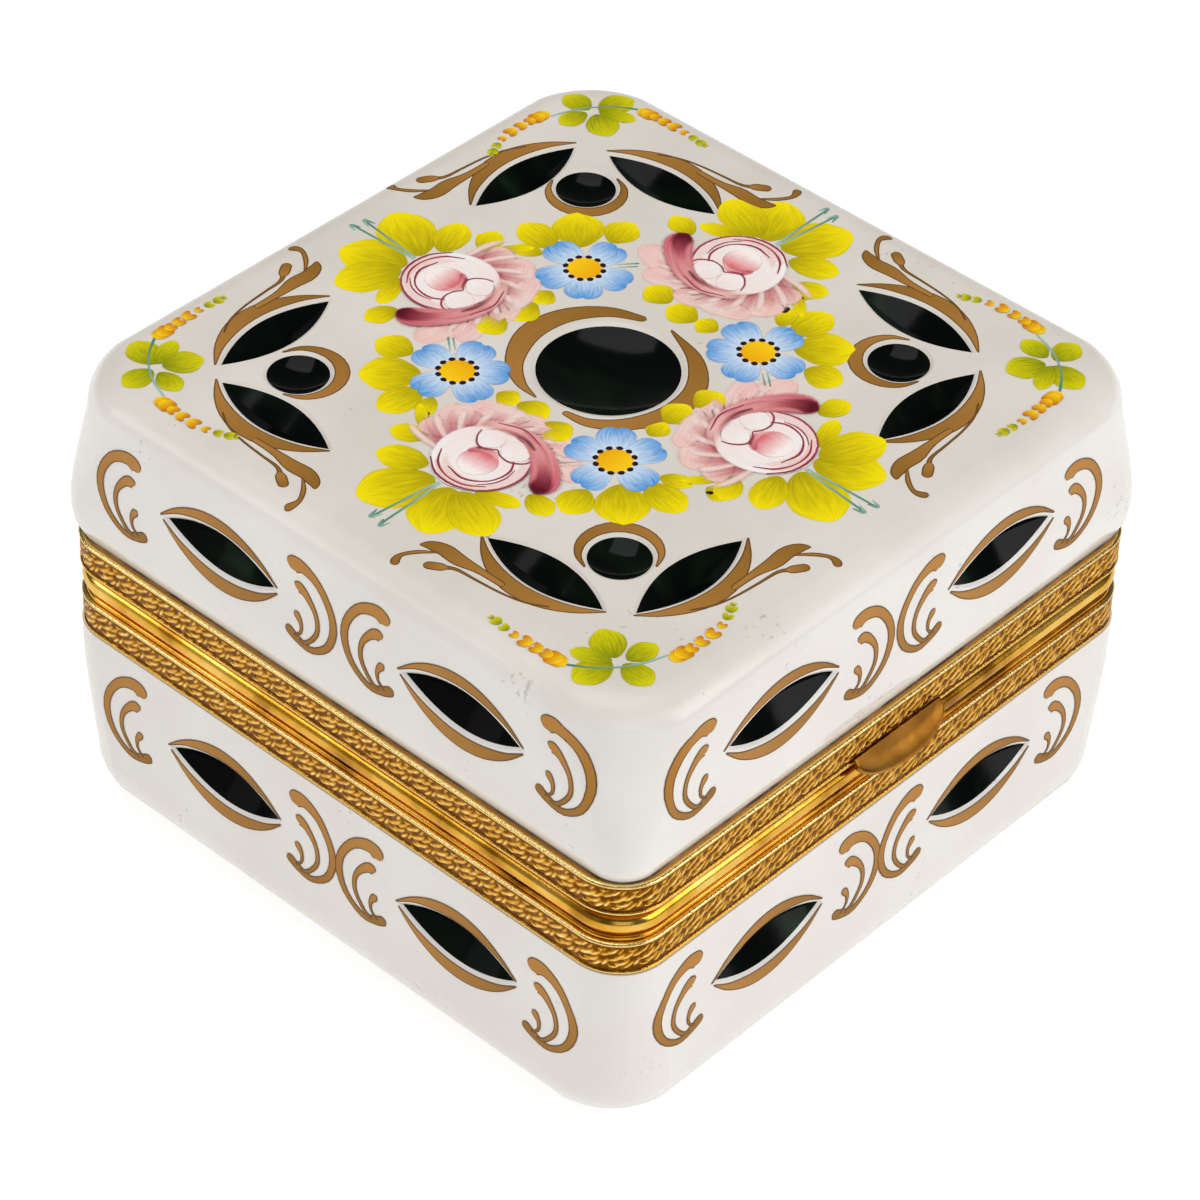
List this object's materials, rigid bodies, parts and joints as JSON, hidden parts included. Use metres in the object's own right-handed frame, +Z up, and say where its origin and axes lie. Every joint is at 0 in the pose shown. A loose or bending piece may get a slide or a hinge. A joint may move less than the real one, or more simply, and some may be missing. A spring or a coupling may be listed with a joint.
{
  "type": "glass casket box",
  "caption": "Square cased-glass casket with a hinged lid, chased gilt collars, a thumb piece and wheel-cut windows, for papers and keepsakes.",
  "frame": {"origin": "middle of the flat underside of the base", "axes": "+Z up, -Y towards the front with the thumb piece, +Y towards the hinge, +X to the right seen from the front"},
  "size_m": [0.131, 0.1404, 0.0903],
  "materials": {
    "dark_glass": "polished near-black green glass",
    "white_casing": "opaque white casing glass, glossy",
    "gilt_brass": "gilt, chased and burnished",
    "brass_pin": "drawn wire",
    "plaster": "matt bedding plaster"
  },
  "bodies": {
    "base": {"base_glass": "dark_glass", "base_casing": "white_casing", "base_band": "gilt_brass", "base_shelf": "gilt_brass", "base_fillet_wire": "gilt_brass", "base_riser": "gilt_brass", "base_bead": "gilt_brass", "base_lip": "gilt_brass", "base_bedding": "plaster", "hinge_leaf_base": "gilt_brass", "hinge_pin": "brass_pin"},
    "lid": {"lid_glass": "dark_glass", "lid_casing": "white_casing", "lid_band": "gilt_brass", "lid_ledge": "gilt_brass", "lid_rim": "gilt_brass", "lid_sleeve": "gilt_brass", "lid_bedding": "plaster", "hinge_leaf_lid": "gilt_brass", "thumb_piece": "gilt_brass"}
  },
  "joints": [
    {"name": "lid_hinge", "type": "hinge", "parent": "base", "child": "lid", "pos_m": [0, 0.067, 0.0509], "axis": [-1, 0, 0], "range_deg": [0, 100]}
  ]
}
